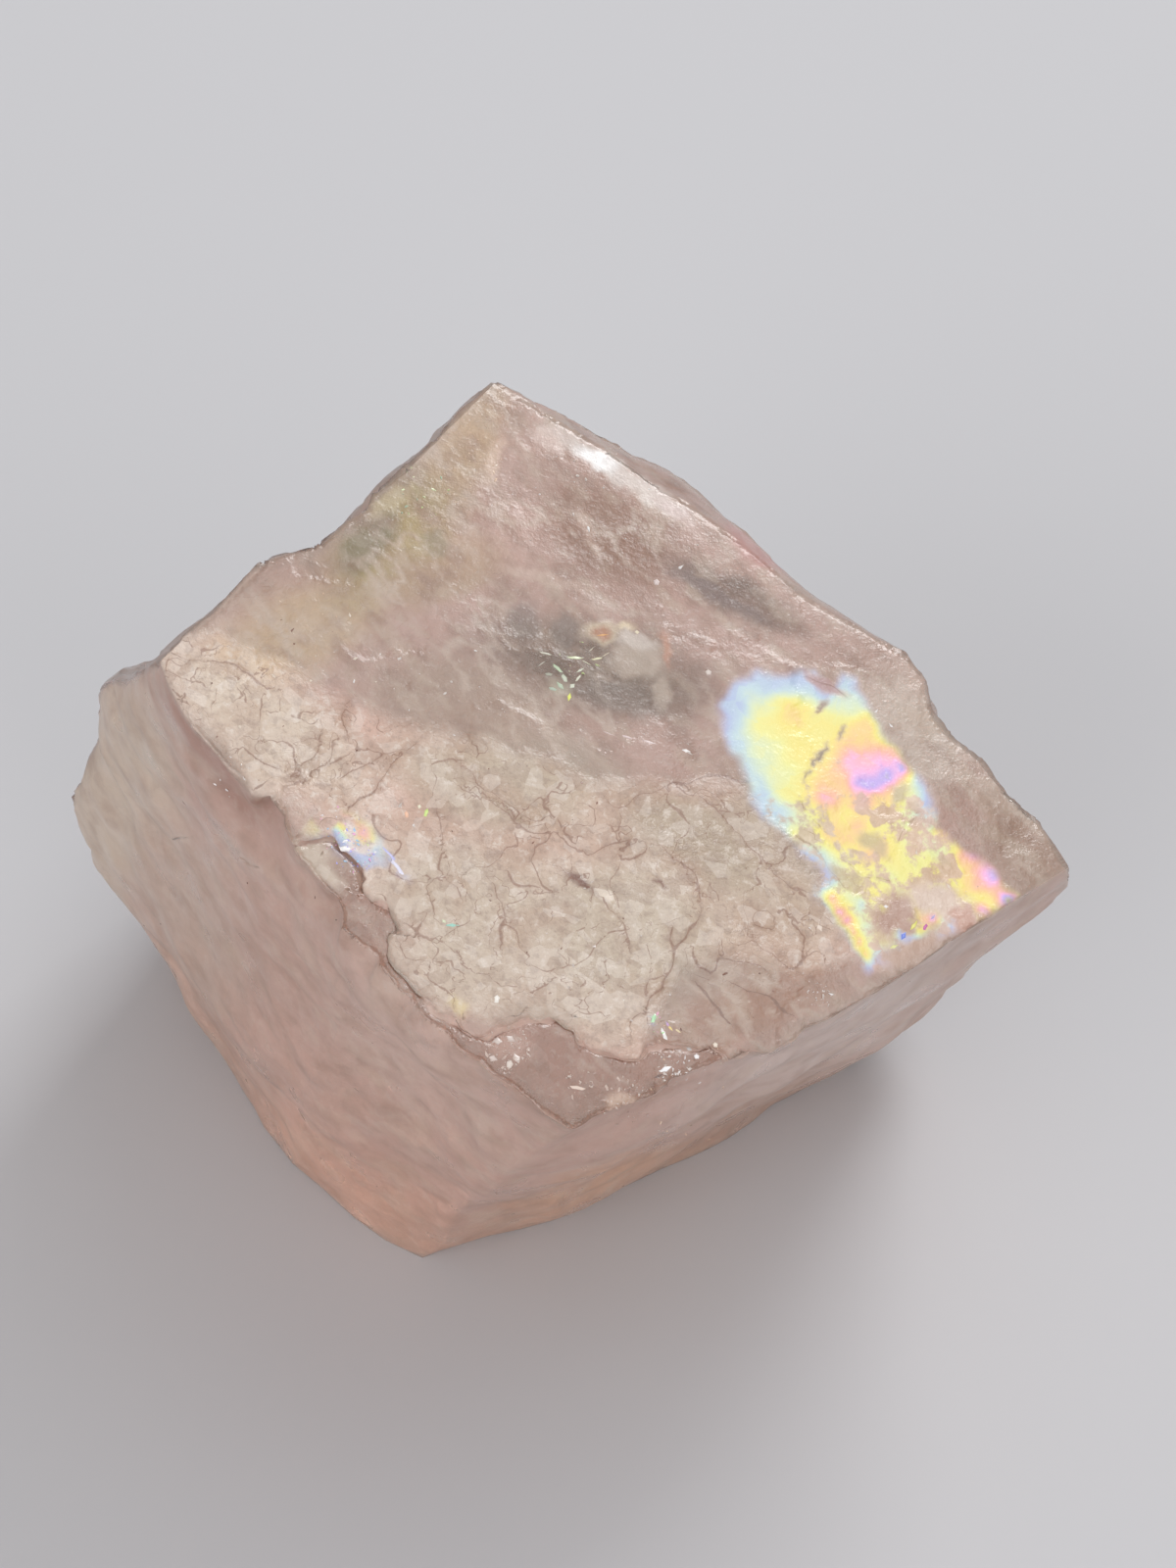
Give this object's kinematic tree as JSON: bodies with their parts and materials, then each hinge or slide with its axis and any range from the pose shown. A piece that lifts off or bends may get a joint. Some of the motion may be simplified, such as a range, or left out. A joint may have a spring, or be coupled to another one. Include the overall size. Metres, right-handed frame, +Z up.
{
  "type": "rough imperial topaz crystal",
  "caption": "Rough chunk of pale pink imperial topaz, one broken crystal with a cracked, sloping cleavage face and overhanging flanks, about 29 mm long.",
  "frame": {"origin": "The centre of the stone's bounding box in X and Y, at the level of the flat break that it rests on.", "axes": "+X is to the right along the longest side, +Y is to the back, +Z is up; the cleavage face slopes down towards -Y and +X."},
  "size_m": [0.0292, 0.0282, 0.0232],
  "materials": {
    "topaz": "Cloudy, see-through pale pink crystal with a glassy lustre on fresh breaks, frosted flanks and a matte, finely cracked cream skin on the cleavage"
  },
  "bodies": {
    "root": {"crystal": "topaz"}
  },
  "joints": []
}
